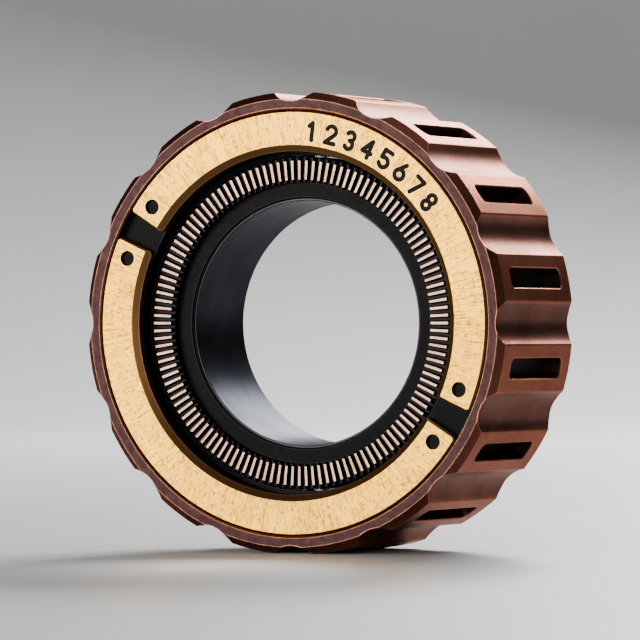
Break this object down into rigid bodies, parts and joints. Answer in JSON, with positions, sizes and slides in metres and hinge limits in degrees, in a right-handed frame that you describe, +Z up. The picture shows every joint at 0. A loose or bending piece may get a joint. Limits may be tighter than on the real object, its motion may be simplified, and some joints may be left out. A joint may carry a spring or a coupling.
{
  "type": "ring click counter",
  "caption": "Ring-shaped click counter with a lobed, windowed copper grip, brass index plates and a toothed click ring turning round an open bore.",
  "frame": {"origin": "centre of the ring, on its axis, midway between the front and back faces", "axes": "Y along the ring's axis with the toothed front facing -Y; Z up; X to the right seen from the front; it stands on two lobes"},
  "size_m": [0.0384, 0.0154, 0.0384],
  "materials": {
    "grip_sleeve": "stonewashed antique copper, dark in the grooves, bright on worn edges",
    "index_plates": "satin with fine radial brushing",
    "black_anodised": "matte black anodised",
    "click_ring": "blackened steel with bare polished tooth tops",
    "liner": "satin grey steel",
    "window_band": "black polymer",
    "infill": "dark enamel",
    "pins": "blackened steel",
    "steel": "polished bearing steel",
    "screws": "blackened steel",
    "cage": "plain brass",
    "bush": "natural acetal",
    "spring_steel": "spring steel"
  },
  "bodies": {
    "grip": {"grip_sleeve": "grip_sleeve", "window_band": "window_band", "drum": "black_anodised", "index_plate_numbered": "index_plates", "index_plate_plain": "index_plates", "numeral_infill": "infill", "plate_pins": "pins", "bearing_outer_race": "steel", "outer_spacer": "black_anodised", "rear_bush": "bush", "disc_spring": "spring_steel", "back_cover": "black_anodised", "cover_screws": "screws", "detent_plugs": "screws", "detent_spring_top": "spring_steel", "detent_spring_bottom": "spring_steel"},
    "core": {"inner_sleeve": "black_anodised", "bore_liner": "liner", "click_ring": "click_ring", "click_ring_pins": "pins", "front_spacer": "black_anodised", "bearing_inner_race": "steel", "inner_spacer": "black_anodised"},
    "ball_train": {"bearing_balls": "steel", "bearing_cage": "cage"},
    "top_detent": {"detent_ball_top": "steel"},
    "bottom_detent": {"detent_ball_bottom": "steel"}
  },
  "joints": [
    {"name": "core_spin", "type": "hinge", "parent": "grip", "child": "core", "pos_m": [0, 0, 0], "axis": [0, 1, 0], "continuous": true},
    {"name": "ball_train_spin", "type": "hinge", "parent": "grip", "child": "ball_train", "pos_m": [0, 0, 0], "axis": [0, 1, 0], "continuous": true},
    {"name": "top_detent_lift", "type": "slide", "parent": "grip", "child": "top_detent", "axis": [0, 0, 1], "range_m": [0, 0.00006], "stiffness_N_per_m": 20, "springref_m": -0.0005, "deforming": ["detent_spring_top"]},
    {"name": "bottom_detent_lift", "type": "slide", "parent": "grip", "child": "bottom_detent", "axis": [0, 0, -1], "range_m": [0, 0.00006], "stiffness_N_per_m": 20, "springref_m": -0.0005, "deforming": ["detent_spring_bottom"]}
  ],
  "couplings": [
    {"joint": "ball_train_spin", "follows": "core_spin", "ratio": 0.4774}
  ]
}
